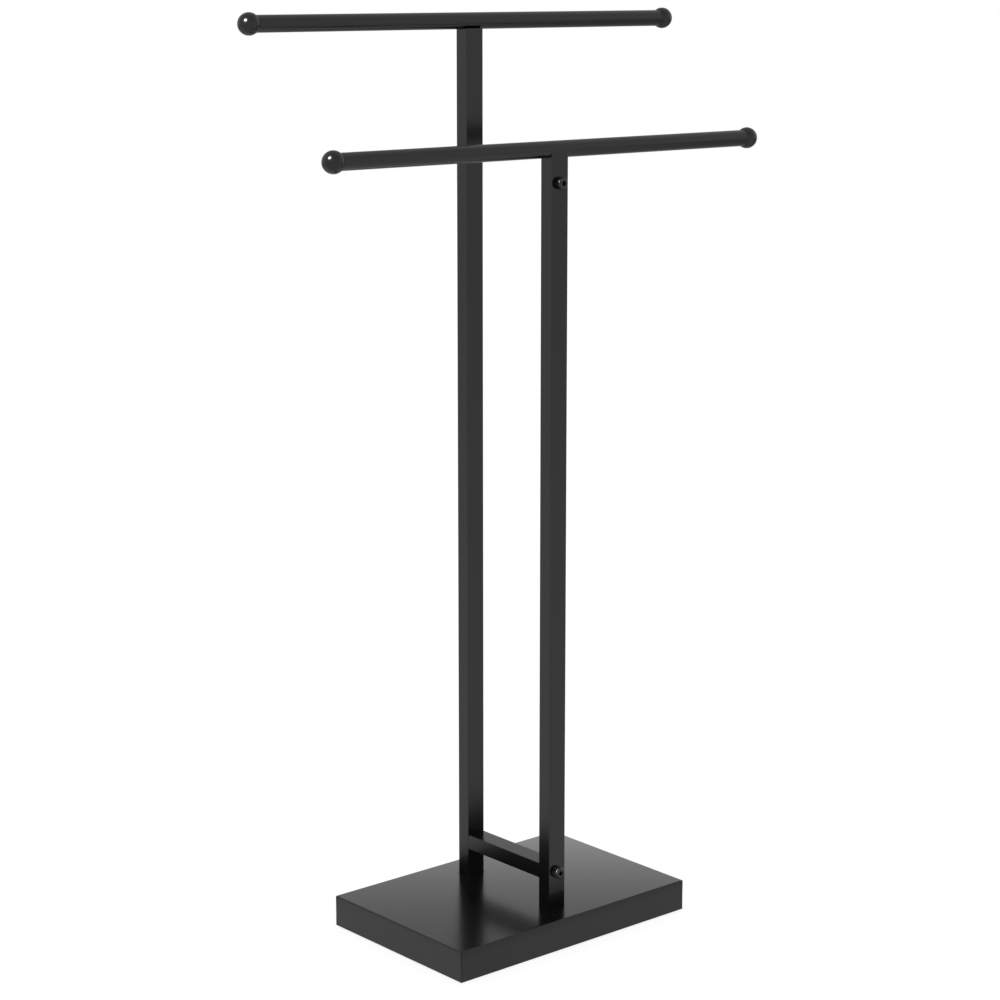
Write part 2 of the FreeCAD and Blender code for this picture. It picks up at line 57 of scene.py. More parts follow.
# %% [markdown]
# ## The camera
# The stand is seen from its left front corner, from a little above its rails, through a long
# lens, so that its posts stay nearly upright. A lens is given in millimetres on a 36 mm sensor.
# The camera could look at a target through a constraint, but two angles say the same in a way
# that is easy to read and to change: how far it turns to the right, and how far it looks down.
# The rest of the way down to the base is a shift of the picture, in parts of its width.

# %% The camera
QUARTER = math.pi / 2
CAMERA_PLACE = (-1765.46 * MM, -2026.65 * MM, 1048.51 * MM)
TURN_RIGHT = math.radians(40.80)
LOOK_DOWN = math.radians(10.71)
LENS = 90.07
SENSOR = 36
SHIFT_DOWN = 0.05
FARTHEST_SEEN = 50
bpy.ops.object.camera_add(
    location=CAMERA_PLACE, rotation=(QUARTER - LOOK_DOWN, 0, -TURN_RIGHT)
)
camera = bpy.context.object
camera.data.sensor_width = SENSOR
camera.data.lens = LENS
camera.data.shift_y = -SHIFT_DOWN
camera.data.clip_end = FARTHEST_SEEN
bpy.context.scene.camera = camera
print("camera at", [round(c, 3) for c in camera.location], "lens", round(camera.data.lens, 2))

# %% [markdown]
# ## Helpers for modelling
# Blender's modelling operators act on whatever is selected, so each step first selects its faces,
# edges or points by where they are. A new primitive keeps its place and size in its object until
# they are applied; applied, they live in the mesh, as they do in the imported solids.


# %% Helpers: find a solid's middle, start a piece, and pick parts of it
X, Y, Z = 0, 1, 2

# How much of an edge's length lies along an axis if it is parallel to it, how much of a face's
# normal does if the face looks that way, and how near two places are if they count as the same.
PARALLEL = 0.999
SQUARE_ON = 0.9
TOUCHING = 0.01 * MM


def middle_of(node):
    """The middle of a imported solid's box."""
    low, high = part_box(node)
    return (low + high) / 2


def settle(name):
    """Names the new primitive, puts its place and size into its mesh and gives it back."""
    piece = bpy.context.object
    piece.name = piece.data.name = name
    bpy.ops.object.transform_apply(location=True, rotation=True, scale=True)
    return piece


def choose(piece):
    """Makes one piece the only one selected."""
    bpy.ops.object.select_all(action="DESELECT")
    piece.select_set(True)
    bpy.context.view_layer.objects.active = piece


def edit(piece):
    """Opens a piece in edit mode."""
    choose(piece)
    bpy.ops.object.mode_set(mode="EDIT")


def done():
    """Goes back to object mode."""
    bpy.ops.object.mode_set(mode="OBJECT")


def pick(kind, test=lambda part: True):
    """Selects the points, edges or faces of the piece being edited that pass a test."""
    bpy.ops.mesh.select_mode(type=kind)
    bpy.ops.mesh.select_all(action="DESELECT")
    mesh = bmesh.from_edit_mesh(bpy.context.object.data)
    mesh.normal_update()
    parts = {"VERT": mesh.verts, "EDGE": mesh.edges, "FACE": mesh.faces}[kind]
    picked = [part for part in parts if test(part)]
    for part in picked:
        part.select_set(True)
    if kind == "VERT":
        mesh.select_flush_mode()
    bmesh.update_edit_mesh(bpy.context.object.data)
    if not picked:
        raise RuntimeError(f"{bpy.context.object.name}: nothing to pick")


def same(a, b):
    """Whether two numbers are the same, but for rounding."""
    return abs(a - b) < TOUCHING


def middle(edge):
    """The point halfway along an edge."""
    return (edge.verts[0].co + edge.verts[1].co) / 2


def runs_along(edge, axis):
    """Whether an edge is parallel to an axis."""
    way = edge.verts[1].co - edge.verts[0].co
    return abs(way[axis]) > PARALLEL * way.length


def looks(face, axis, way):
    """Whether a face looks squarely along an axis: forwards with way=1, backwards with -1."""
    return face.normal[axis] * way > SQUARE_ON


# %% Helpers: shape what is picked, and finish a piece with a modifier
def bevel(width, segments):
    """Rounds the picked edges."""
    bpy.ops.mesh.bevel(offset=width, segments=segments, affect="EDGES", clamp_overlap=True)


def extrude(x=0, z=0):
    """Draws the picked parts out along X or Z."""
    bpy.ops.mesh.extrude_region_move(TRANSFORM_OT_translate={"value": (x, 0, z)})


def modify(piece, kind, **settings):
    """Adds one modifier to a piece in object mode, sets it and applies it."""
    choose(piece)
    modifier = piece.modifiers.new(kind.lower(), kind)
    for name, value in settings.items():
        setattr(modifier, name, value)
    bpy.ops.object.modifier_apply(modifier=modifier.name)


def cut(piece, cutter):
    """Cuts a shape out of a piece and deletes the shape."""
    before = len(piece.data.vertices)
    modify(piece, "BOOLEAN", operation="DIFFERENCE", solver="MANIFOLD", object=cutter)
    bpy.data.objects.remove(cutter)
    if len(piece.data.vertices) == before:
        raise RuntimeError(f"{piece.name}: the cut changed nothing")


def drill(piece, diameter, depth, place, turn=(0, 0, 0), vertices=64):
    """Cuts a round hole, with a cylinder whose middle is at a place."""
    bpy.ops.mesh.primitive_cylinder_add(
        vertices=vertices, radius=diameter / 2, depth=depth, location=place, rotation=turn
    )
    cut(piece, settle("drill"))


def smooth(piece, sharpest=40):
    """Shades rounded edges smooth and keeps the flats between them flat."""
    choose(piece)
    bpy.ops.object.shade_smooth_by_angle(angle=math.radians(sharpest))
    modify(piece, "WEIGHTED_NORMAL", keep_sharp=True, weight=100)


def copy_to(piece, name, place=(0, 0, 0), turn=(0, 0, 0)):
    """A copy of a piece with a mesh of its own, turned about the origin and then moved."""
    choose(piece)
    bpy.ops.object.duplicate(linked=False)
    bpy.context.object.rotation_euler = turn
    bpy.context.object.location = place
    return settle(name)


def dress(piece, material, slot, *nodes):
    """Gives a finished piece its material, and lets it stand for the solids that it follows."""
    piece.data.materials.clear()
    piece.data.materials.append(material)
    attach(piece, "root")
    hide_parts(*nodes)
    triangles = sum(len(face.vertices) - 2 for face in piece.data.polygons)
    sides = [round(side / MM, 2) for side in piece.dimensions]
    print(f"{piece.name}: {triangles} triangles, {sides} mm")


# %% [markdown]
# ## Helpers for materials
# Colours are written as sRGB hex, as a paint chart gives them, and turned to linear light once.
# Materials read Object coordinates, in metres, so a pattern whose grains are so many millimetres
# across has a scale of one over that length in metres. A noise texture's values lie round one
# half, nearly all of them between 0.3 and 0.7, and the two black finishes spread that range over
# their whole change of roughness.


# %% Helpers: colours, nodes and the size of a pattern
NOISE_LOW = 0.3
NOISE_HIGH = 0.7


def linear(colour):
    """The linear RGBA of an sRGB hex colour."""
    levels = [int(colour[i : i + 2], 16) / 255 for i in (1, 3, 5)]
    return [c / 12.92 if c <= 0.04045 else ((c + 0.055) / 1.055) ** 2.4 for c in levels] + [1]


def per_mm(length):
    """The scale of a pattern whose grains are this many millimetres across."""
    return 1 / (length * MM)


def add_node(tree, kind, settings=None, links=None):
    """Adds a node, sets its properties and sockets, and joins outputs to its sockets."""
    node = tree.nodes.new(kind)
    for name, value in (settings or {}).items():
        if isinstance(name, str) and hasattr(node, name):
            setattr(node, name, value)
        else:
            node.inputs[name].default_value = value
    for socket, output in (links or {}).items():
        tree.links.new(output, node.inputs[socket])
    return node


def new_material(name, **sockets):
    """A material, its node tree, its Principled shader with sockets set, and its coordinates."""
    material = bpy.data.materials.new(name)
    material.use_nodes = True
    tree = material.node_tree
    shader = tree.nodes["Principled BSDF"]
    for socket, value in sockets.items():
        shader.inputs[socket.replace("_", " ")].default_value = value
    place = tree.nodes.new("ShaderNodeTexCoord").outputs["Object"]
    return material, tree, shader, place


# %% [markdown]
# ## Satin black powder coat
# Powder coating is dry polyester powder, held on the steel by a charge and baked until it flows
# into one thick film. The film is very dark and even, so nearly all that the eye gets from it is
# its reflection: white surroundings come back as dark grey, brighter at a shallow angle. The film
# never flows quite flat. It keeps a faint ripple about two millimetres across, called orange peel,
# and a fine grit, both only microns high, so they are a bump and a small change of roughness. Real
# grit is about a tenth of a millimetre across, and is drawn coarser here so that it can show.

# %% Satin black powder coat
CLOUD = 60
PEEL = 2.2
PEEL_HEIGHT = 0.012 * MM
GRIT = 0.5
powder_coat, tree, shader, place = new_material("powder_coat_baked_satin_black", IOR=1.45)
cloud = add_node(
    tree, "ShaderNodeTexNoise", {"Scale": per_mm(CLOUD), "Detail": 3}, {"Vector": place}
)
tint = add_node(
    tree,
    "ShaderNodeMix",
    {"data_type": "RGBA", 6: linear("#060606"), 7: linear("#080808")},
    {0: cloud.outputs["Fac"]},
)
tree.links.new(tint.outputs[2], shader.inputs["Base Color"])
grit = add_node(tree, "ShaderNodeTexNoise", {"Scale": per_mm(GRIT), "Detail": 2}, {"Vector": place})
sheen = add_node(
    tree,
    "ShaderNodeMapRange",
    {"From Min": NOISE_LOW, "From Max": NOISE_HIGH, "To Min": 0.185, "To Max": 0.215},
    {"Value": grit.outputs["Fac"]},
)
tree.links.new(sheen.outputs["Result"], shader.inputs["Roughness"])
peel = add_node(tree, "ShaderNodeTexNoise", {"Scale": per_mm(PEEL), "Detail": 1}, {"Vector": place})
ripple = add_node(
    tree,
    "ShaderNodeBump",
    {"Strength": 1, "Distance": PEEL_HEIGHT},
    {"Height": peel.outputs["Fac"]},
)
tree.links.new(ripple.outputs["Normal"], shader.inputs["Normal"])
print(powder_coat.name, "has", len(tree.nodes), "nodes")

# %% [markdown]
# ## Black oxide steel
# The cap screws are hardened steel, blackened in a hot salt bath and oiled. The oxide is a few
# microns of dark crystals in the steel itself, so it keeps the forged and knurled shape sharp,
# and it shines like a dark metal rather than like a film of paint.

# %% Black oxide steel
STAIN = 3
black_oxide, tree, shader, place = new_material("black_oxide_steel_oiled", IOR=1.5)
stain = add_node(
    tree, "ShaderNodeTexNoise", {"Scale": per_mm(STAIN), "Detail": 4}, {"Vector": place}
)
tint = add_node(
    tree,
    "ShaderNodeMix",
    {"data_type": "RGBA", 6: linear("#0a0a0b"), 7: linear("#131314")},
    {0: stain.outputs["Fac"]},
)
tree.links.new(tint.outputs[2], shader.inputs["Base Color"])
sheen = add_node(
    tree,
    "ShaderNodeMapRange",
    {"From Min": NOISE_LOW, "From Max": NOISE_HIGH, "To Min": 0.26, "To Max": 0.36},
    {"Value": stain.outputs["Fac"]},
)
tree.links.new(sheen.outputs["Result"], shader.inputs["Roughness"])
print(black_oxide.name, "has", len(tree.nodes), "nodes")

# %% [markdown]
# ## Zinc-plated steel
# The plugs, studs, washers and hidden screws are mild steel with a bright zinc plate. Zinc is a
# pale, slightly blue metal, and the plate takes the fine turning marks of the steel under it. They
# are a noise whose grains are squeezed flat along Z, so that they become lines round the steel.

# %% Zinc-plated steel
TURNING_MARK = 2
SQUEEZED = (1, 1, 12)
zinc_plate, tree, shader, place = new_material("zinc_plated_turned_steel", Metallic=1.0)
lines = add_node(tree, "ShaderNodeMapping", {"Scale": SQUEEZED}, {"Vector": place})
marks = add_node(
    tree,
    "ShaderNodeTexNoise",
    {"Scale": per_mm(TURNING_MARK), "Detail": 3},
    {"Vector": lines.outputs["Vector"]},
)
tint = add_node(
    tree,
    "ShaderNodeMix",
    {"data_type": "RGBA", 6: linear("#b4b7ba"), 7: linear("#cdd0d3")},
    {0: marks.outputs["Fac"]},
)
tree.links.new(tint.outputs[2], shader.inputs["Base Color"])
sheen = add_node(
    tree, "ShaderNodeMapRange", {"To Min": 0.28, "To Max": 0.42}, {"Value": marks.outputs["Fac"]}
)
tree.links.new(sheen.outputs["Result"], shader.inputs["Roughness"])
print(zinc_plate.name, "has", len(tree.nodes), "nodes")

# %% [markdown]
# ## Brass, cast concrete and rubber
# Brass inserts are turned from bar, so they are a smooth yellow metal with fine marks. The ballast
# is concrete cast in the base: matt, grey, with sand in it. The feet are moulded black rubber,
# matt with a fine grain from the mould, so that they grip and leave no mark.

# %% Turned brass
BRASS_MARK = 1
brass, tree, shader, place = new_material("brass_turned_from_bar", Metallic=1.0)
marks = add_node(
    tree, "ShaderNodeTexNoise", {"Scale": per_mm(BRASS_MARK), "Detail": 3}, {"Vector": place}
)
tint = add_node(
    tree,
    "ShaderNodeMix",
    {"data_type": "RGBA", 6: linear("#c9a95c"), 7: linear("#dcc07a")},
    {0: marks.outputs["Fac"]},
)
tree.links.new(tint.outputs[2], shader.inputs["Base Color"])
sheen = add_node(
    tree, "ShaderNodeMapRange", {"To Min": 0.22, "To Max": 0.36}, {"Value": marks.outputs["Fac"]}
)
tree.links.new(sheen.outputs["Result"], shader.inputs["Roughness"])
print(brass.name, "has", len(tree.nodes), "nodes")

# %% Cast concrete
SAND = 1.5
SAND_HEIGHT = 0.3 * MM
PATCH = 25
SAND_PART = 0.5
DARK_BELOW = 0.5
PALE_ABOVE = 1.0
concrete, tree, shader, place = new_material("concrete_cast_grey", Roughness=0.9)
sand = add_node(tree, "ShaderNodeTexNoise", {"Scale": per_mm(SAND), "Detail": 5}, {"Vector": place})
patches = add_node(tree, "ShaderNodeTexNoise", {"Scale": per_mm(PATCH)}, {"Vector": place})
mixed = add_node(
    tree,
    "ShaderNodeMath",
    {"operation": "MULTIPLY_ADD", 1: SAND_PART},
    {0: sand.outputs["Fac"], 2: patches.outputs["Fac"]},
)
tint = add_node(
    tree,
    "ShaderNodeMapRange",
    {"From Min": DARK_BELOW, "From Max": PALE_ABOVE},
    {"Value": mixed.outputs["Value"]},
)
colour = add_node(
    tree,
    "ShaderNodeMix",
    {"data_type": "RGBA", 6: linear("#8f8d88"), 7: linear("#bab8b2")},
    {0: tint.outputs["Result"]},
)
tree.links.new(colour.outputs[2], shader.inputs["Base Color"])
bumps = add_node(
    tree, "ShaderNodeBump", {"Distance": SAND_HEIGHT}, {"Height": sand.outputs["Fac"]}
)
tree.links.new(bumps.outputs["Normal"], shader.inputs["Normal"])
print(concrete.name, "has", len(tree.nodes), "nodes")

# %% Moulded rubber
MOULD_GRAIN = 0.6
MOULD_GRAIN_HEIGHT = 0.05 * MM
rubber, tree, shader, place = new_material("rubber_moulded_black", IOR=1.52, Roughness=0.7)
grain = add_node(tree, "ShaderNodeTexVoronoi", {"Scale": per_mm(MOULD_GRAIN)}, {"Vector": place})
tint = add_node(
    tree,
    "ShaderNodeMix",
    {"data_type": "RGBA", 6: linear("#161616"), 7: linear("#1f1f1e")},
    {0: grain.outputs["Distance"]},
)
tree.links.new(tint.outputs[2], shader.inputs["Base Color"])
bumps = add_node(
    tree,
    "ShaderNodeBump",
    {"Distance": MOULD_GRAIN_HEIGHT},
    {"Height": grain.outputs["Distance"]},
)
tree.links.new(bumps.outputs["Normal"], shader.inputs["Normal"])
print(rubber.name, "has", len(tree.nodes), "nodes")

# %% [markdown]
# ## The base cover
# The base is a tray of 1.5 mm sheet turned upside down over its ballast, its edges folded, welded
# and ground to a small even radius before coating. A cube gives its outside. Insetting and
# extruding the underside makes the hollow, and a bevel rounds the folded edges but not the rim.

# %% The base cover
SHEET = 1.5 * MM
FOLD_RADIUS = 1.5 * MM
RIM_RADIUS = 0.3 * MM
low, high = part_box("base_shell")
bpy.ops.mesh.primitive_cube_add(size=1, location=(low + high) / 2, scale=high - low)
base_cover = settle("base_cover")
edit(base_cover)
pick("FACE", lambda face: looks(face, Z, -1))
bpy.ops.mesh.inset(thickness=SHEET)
extrude(z=high.z - low.z - SHEET)
pick(
    "EDGE",
    lambda edge: same(middle(edge).z, low.z) and (runs_along(edge, X) or runs_along(edge, Y)),
)
bevel(RIM_RADIUS, segments=2)


def is_fold(edge):
    """An outer upright edge, or one round the top."""
    place = middle(edge)
    outside = same(abs(place.x), high.x) and same(abs(place.y), high.y)
    on_top = same(place.z, high.z) and (same(abs(place.x), high.x) or same(abs(place.y), high.y))
    return on_top or (outside and runs_along(edge, Z))


pick("EDGE", is_fold)
bevel(FOLD_RADIUS, segments=5)
done()
print("base cover:", len(base_cover.data.polygons), "faces before its holes")

# %% [markdown]
# A bolt comes up through the cover into the foot of each post, through a hole that is a little
# wider than the bolt. The hole is cut with a Boolean, because a cylinder says its size and place
# best, and nothing else of the cover has to change for it.

# %% The holes for the posts' bolts
BOLT_HOLE = 8.6 * MM
DRILLED = 20 * MM
for side in ("front", "rear"):
    bolt = middle_of(f"{side}_anchor_screw")
    drill(base_cover, BOLT_HOLE, DRILLED, (bolt.x, bolt.y, high.z))
smooth(base_cover)
dress(base_cover, powder_coat, "powder_coat", "base_shell")

# %% [markdown]
# ## The posts and the cross tube
# All three are cold-rolled rectangular tube, 1.5 mm thick, with the small outer radius that such
# tube has. A cube is stretched to the tube's outside, its long edges are bevelled, its two ends
# are deleted, and Solidify gives it its wall, measured inwards so that the outside stays put.
# The sawn ends get a very small bevel, because coating draws back from a sharp edge. The foot of
# a post gets a larger one, which draws a thin dark line where the post stands on the base.

# %% A length of rectangular tube
TUBE_WALL = 1.5 * MM
TUBE_RADIUS = 0.5 * MM
SAWN_EDGE = 0.2 * MM


def rectangular_tube(name, low, high, along):
    """A tube that fills the box between two corners and runs along an axis."""
    bpy.ops.mesh.primitive_cube_add(size=1, location=(low + high) / 2, scale=high - low)
    tube = settle(name)
    edit(tube)
    pick("EDGE", lambda edge: runs_along(edge, along))
    bevel(TUBE_RADIUS, segments=5)
    pick("FACE", lambda face: looks(face, along, 1) or looks(face, along, -1))
    bpy.ops.mesh.delete(type="ONLY_FACE")
    done()
    modify(tube, "SOLIDIFY", thickness=TUBE_WALL, offset=-1, use_even_offset=True)
    return tube


def soften_end(tube, along, place, width):
    """Takes the sharpness off one sawn end of a tube, outside and inside."""

    def is_rim(edge):
        """An edge of the sawn end, between the end's narrow face and a side of the tube."""
        on_side = [same(face.normal[along], 0) for face in edge.link_faces]
        at_end = all(same(point.co[along], place) for point in edge.verts)
        return at_end and any(on_side) and not all(on_side)

    edit(tube)
    pick("EDGE", is_rim)
    bevel(width, segments=2)
    done()


cross_tube = rectangular_tube("cross_tube", *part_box("stretcher"), along=Y)
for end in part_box("stretcher"):
    soften_end(cross_tube, Y, end.y, SAWN_EDGE)
smooth(cross_tube)
dress(cross_tube, powder_coat, "powder_coat", "stretcher")

# %% [markdown]
# The top of each post is milled out to a round saddle for its rail, and each post is drilled for
# its two screws: right through for the one that holds the cross tube, and through the outer wall
# for the one that holds the rail. The drill is a cylinder, and the mill is one too. On the front
# post only most of the outer wall's thickness reaches up to the rail. The rest is cut off lower
# down, which leaves a dark gap under the rail. On the rear post all of it is cut off low.

# %% The posts
SADDLE_RADIUS = 9.0 * MM
SADDLE_SIDES = 256
MILL_LENGTH = 60 * MM
LOW_CUT = 5.7 * MM
LEFT_STANDING = 0.8 * TUBE_WALL
SAW_WIDTH = 40 * MM
SAW_PAST_POST = 5 * MM
TOP_DROP = {"front": 2.9 * MM, "rear": 8.0 * MM}
FOOT_EDGE = 0.8 * MM
SCREW_HOLE = 8.6 * MM
ACROSS = (0, QUARTER, 0)
TO_THE_BACK = (QUARTER, 0, 0)
for side in ("front", "rear"):
    low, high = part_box(f"{side}_post")
    axis = middle_of(f"{side}_rail")
    high.z = axis.z - TOP_DROP[side]
    post = rectangular_tube(f"{side}_post_tube", low, high, along=Z)
    soften_end(post, Z, low.z, FOOT_EDGE)
    drill(post, 2 * SADDLE_RADIUS, MILL_LENGTH, (0, axis.y, axis.z), ACROSS, SADDLE_SIDES)
    if side == "front":
        saw_low = Vector((-SAW_WIDTH / 2, low.y + LEFT_STANDING, axis.z - LOW_CUT))
        saw_high = Vector((SAW_WIDTH / 2, high.y + SAW_PAST_POST, axis.z))
        bpy.ops.mesh.primitive_cube_add(
            size=1, location=(saw_low + saw_high) / 2, scale=saw_high - saw_low
        )
        cut(post, settle("saw"))
    for screw in ("stretcher", "rail"):
        screw_low, screw_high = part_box(f"{side}_{screw}_screw")
        hole = middle_of(f"{side}_{screw}_screw")
        drill(post, SCREW_HOLE, screw_high.y - screw_low.y, (0, hole.y, hole.z), TO_THE_BACK)
    smooth(post)
    dress(post, powder_coat, "powder_coat", f"{side}_post")

# %% [markdown]
# A block under each rail stands inside the top of its post, where the rail screw holds it. It
# touches the rail only along the rail's lowest line, so the gap over the rear post looks black.

# %% The blocks under the rails
BLOCK_EDGE = 0.5 * MM
TAPPED_HOLE = 8.1 * MM
TAPPED = 30 * MM
for side in ("front", "rear"):
    low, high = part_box(f"{side}_rail_stub")
    high.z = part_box(f"{side}_rail")[0].z
    bpy.ops.mesh.primitive_cube_add(size=1, location=(low + high) / 2, scale=high - low)
    block = settle(f"{side}_rail_block")
    edit(block)
    pick("EDGE")
    bevel(BLOCK_EDGE, segments=2)
    done()
    hole_height = middle_of(f"{side}_rail_screw").z
    drill(block, TAPPED_HOLE, TAPPED, (0, (low.y + high.y) / 2, hole_height), TO_THE_BACK)
    smooth(block)
    dress(block, powder_coat, "powder_coat", f"{side}_rail_stub")

# %% [markdown]
# ## The rails
# Each rail is a round tube. A ring of points is extruded along the rail and given its wall by
# Solidify. Both outer rims are rounded, as a tube's end is after it is tumbled and coated, and
# that small round catches a line of light where the ball meets the tube.

# %% The rails
RAIL_WALL = 1.2 * MM
RAIL_EDGE = 0.5 * MM


def is_outer_rim(edge, axis, end, beyond):
    """Whether an edge lies round the outside of either end of a rail."""
    ends = [point.co for point in edge.verts]
    from_axis = [math.hypot(p.y - axis.y, p.z - axis.z) for p in ends]
    return all(same(abs(p.x), end) for p in ends) and min(from_axis) > beyond


for side in ("front", "rear"):
    low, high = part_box(f"{side}_rail")
    axis = middle_of(f"{side}_rail")
    radius = (high.z - low.z) / 2
    bpy.ops.mesh.primitive_circle_add(
        vertices=128, radius=radius, location=(low.x, axis.y, axis.z), rotation=ACROSS
    )
    rail = settle(f"{side}_rail_tube")
    edit(rail)
    pick("EDGE")
    extrude(x=high.x - low.x)
    bpy.ops.mesh.select_all(action="SELECT")
    bpy.ops.mesh.normals_make_consistent(inside=False)
    done()
    modify(rail, "SOLIDIFY", thickness=RAIL_WALL, offset=-1, use_even_offset=True)
    edit(rail)
    pick("EDGE", lambda edge: is_outer_rim(edge, axis, high.x, radius - RAIL_WALL / 2))
    bevel(RAIL_EDGE, segments=4)
    done()
    smooth(rail)
    dress(rail, powder_coat, "powder_coat", f"{side}_rail")

# %% [markdown]
# ## The ball ends
# A turned steel ball closes each end of a rail. It is larger than the tube and is faced flat
# where it seats against it, with a tapped hole for the stud that joins the two. A UV sphere with
# its pole on the rail's axis keeps the rings of points square to that axis, so a bisection leaves
# a clean flat seat, which is then inset to the hole and extruded inwards.

# %% The ball ends
BALL_RADIUS = 11.75 * MM
STUD_HOLE = 6.1 * MM
HOLE_DEPTH = 11 * MM
low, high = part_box("front_rail_right_ball")
flat = low.x - (high.x - BALL_RADIUS)
bpy.ops.mesh.primitive_uv_sphere_add(
    segments=96, ring_count=64, radius=BALL_RADIUS, rotation=ACROSS
)
ball = settle("ball")
edit(ball)
pick("VERT")
bpy.ops.mesh.bisect(
    plane_co=(flat, 0, 0), plane_no=(1, 0, 0), use_fill=True, clear_inner=True, threshold=1e-7
)
pick("FACE", lambda face: looks(face, X, -1) and same(face.calc_center_median().x, flat))
seat_radius = math.sqrt(BALL_RADIUS**2 - flat**2)
bpy.ops.mesh.inset(thickness=seat_radius - STUD_HOLE / 2)
extrude(x=HOLE_DEPTH)
done()
smooth(ball)
for side in ("front", "rear"):
    for end, turn in (("left", math.pi), ("right", 0)):
        low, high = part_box(f"{side}_rail_{end}_ball")
        centre = middle_of(f"{side}_rail_{end}_ball")
        x = high.x - BALL_RADIUS if end == "right" else low.x + BALL_RADIUS
        place = (x, centre.y, centre.z)
        end_ball = copy_to(ball, f"{side}_{end}_ball_end", place, (0, 0, turn))
        dress(end_ball, powder_coat, "powder_coat", f"{side}_rail_{end}_ball")
bpy.data.objects.remove(ball)

# %% [markdown]
# ## The cap screws
# A socket-head cap screw is forged: a round head with a knurled side for the fingers, a rounded
# rim, a hexagon socket for the key, and a plain shank here, as its thread is out of sight. The
# head is built up from one ring of points, extruded and resized level by level like a pot on a
# wheel. Every second column of points is then drawn in to make the teeth of the knurl, and the
# socket is cut with a six-sided cylinder. Each kind of screw is modelled once and then copied.


# %% Turning a ring of points
def turned_piece(name, levels, columns):
    """A shell turned about Z from (radius, height) levels, each a ring of points."""
    radius, height = levels[0]
    bpy.ops.mesh.primitive_circle_add(vertices=columns, radius=radius, location=(0, 0, height))
    piece = settle(name)
    edit(piece)
    pick("EDGE")
    for next_radius, next_height in levels[1:]:
        extrude(z=next_height - height)
        grow = next_radius / radius
        bpy.ops.transform.resize(value=(grow, grow, 1), center_override=(0, 0, next_height))
        radius, height = next_radius, next_height
    return piece


def rounded(radius, height, rim, steps=6):
    """The levels round a rim, from the side up to the flat top."""
    turns = [QUARTER * step / steps for step in range(steps + 1)]
    return [
        (radius - rim * (1 - math.cos(turn)), height - rim * (1 - math.sin(turn))) for turn in turns
    ]


# %% How a cap screw is made
TEETH = 44
POINT = 0.8 * MM
SCREW_FLATS_FROM = 25


def cap_screw(name, shank, length, head, height, rim, key, key_depth, tooth):
    """A socket-head cap screw along Z, its head standing on the XY plane."""
    levels = [
        (shank / 2 - POINT, -length),
        (shank / 2, POINT - length),
        (shank / 2, 0),
        (head / 2 - tooth, 0),
        (head / 2, tooth),
    ]
    levels += rounded(head / 2, height, rim)
    screw = turned_piece(name, levels, TEETH * 2)
    pick("EDGE", lambda edge: same(middle(edge).z, height) or same(middle(edge).z, -length))
    bpy.ops.mesh.edge_face_add()
    pick(
        "VERT",
        lambda point: tooth / 2 < point.co.z < height - rim + tooth / 2
        and round(math.atan2(point.co.y, point.co.x) / (math.pi / TEETH)) % 2 == 1,
    )
    drawn_in = 1 - tooth / (head / 2)
    bpy.ops.transform.resize(value=(drawn_in, drawn_in, 1), center_override=(0, 0, 0))
    bpy.ops.mesh.select_all(action="SELECT")
    bpy.ops.mesh.normals_make_consistent(inside=False)
    done()
    bpy.ops.mesh.primitive_cylinder_add(
        vertices=6, radius=key / math.sqrt(3), depth=2 * key_depth, location=(0, 0, height)
    )
    cut(screw, settle("key_shape"))
    smooth(screw, SCREW_FLATS_FROM)
    return screw


def screws_like(screw, names, slot, material):
    """Copies of a screw for the solids named, each placed and pointed as its solid is."""
    for name, (place, turn) in names.items():
        dress(copy_to(screw, f"{name}_cap", place, turn), material, slot, name)
    bpy.data.objects.remove(screw)


# %% The large screws, two in each post
POINTING = {"front": (QUARTER, 0, 0), "rear": (-QUARTER, 0, 0), "down": (math.pi, 0, 0)}
HEAD_HEIGHT = 6.5 * MM
for kind in ("stretcher", "rail"):
    places = {}
    for side in ("front", "rear"):
        name = f"{side}_{kind}_screw"
        low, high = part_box(name)
        seat = low.y + HEAD_HEIGHT if side == "front" else high.y - HEAD_HEIGHT
        places[name] = ((0, seat, middle_of(name).z), POINTING[side])
    frame_screw = cap_screw(
        f"{kind}_cap_screw",
        shank=8 * MM,
        length=high.y - low.y - HEAD_HEIGHT,
        head=13 * MM,
        height=HEAD_HEIGHT,
        rim=2 * MM,
        key=5 * MM,
        key_depth=3 * MM,
        tooth=0.3 * MM,
    )
    screws_like(frame_screw, places, "black_screw", black_oxide)

# %% [markdown]
# ## The feet
# Four moulded rubber rings lift the base two millimetres off the floor. Each is turned in one
# go from its own outline: up the outside from a rounded lower edge, across the top, and down
# through the screw hole and the wide bore that hides the screw's head. A small zinc-plated
# screw, the same shape as the large ones, holds each foot.

# %% The feet and their screws
FOOT_ROUND = 1.0 * MM
BORE_RADIUS = 6 * MM
HOLE_RADIUS = 2.8 * MM
WEB = 2 * MM
MERGED = 0.001 * MM
low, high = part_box("front_left_foot")
foot_radius = (high.x - low.x) / 2
foot_height = high.z
web_low = foot_height - WEB
round_edge = rounded(foot_radius, foot_height, FOOT_ROUND)
levels = [(BORE_RADIUS, 0)]
levels += [(radius, foot_height - height) for radius, height in reversed(round_edge)]
levels += [(foot_radius, foot_height), (HOLE_RADIUS, foot_height), (HOLE_RADIUS, web_low)]
levels += [(BORE_RADIUS, web_low), (BORE_RADIUS, 0)]
foot = turned_piece("foot", levels, 64)
pick("VERT")
bpy.ops.mesh.remove_doubles(threshold=MERGED)
bpy.ops.mesh.normals_make_consistent(inside=False)
done()
smooth(foot)
foot_screw = cap_screw(
    "foot_cap_screw",
    shank=5 * MM,
    length=14 * MM,
    head=9 * MM,
    height=2.8 * MM,
    rim=0.5 * MM,
    key=3 * MM,
    key_depth=1.6 * MM,
    tooth=0.2 * MM,
)
places = {}
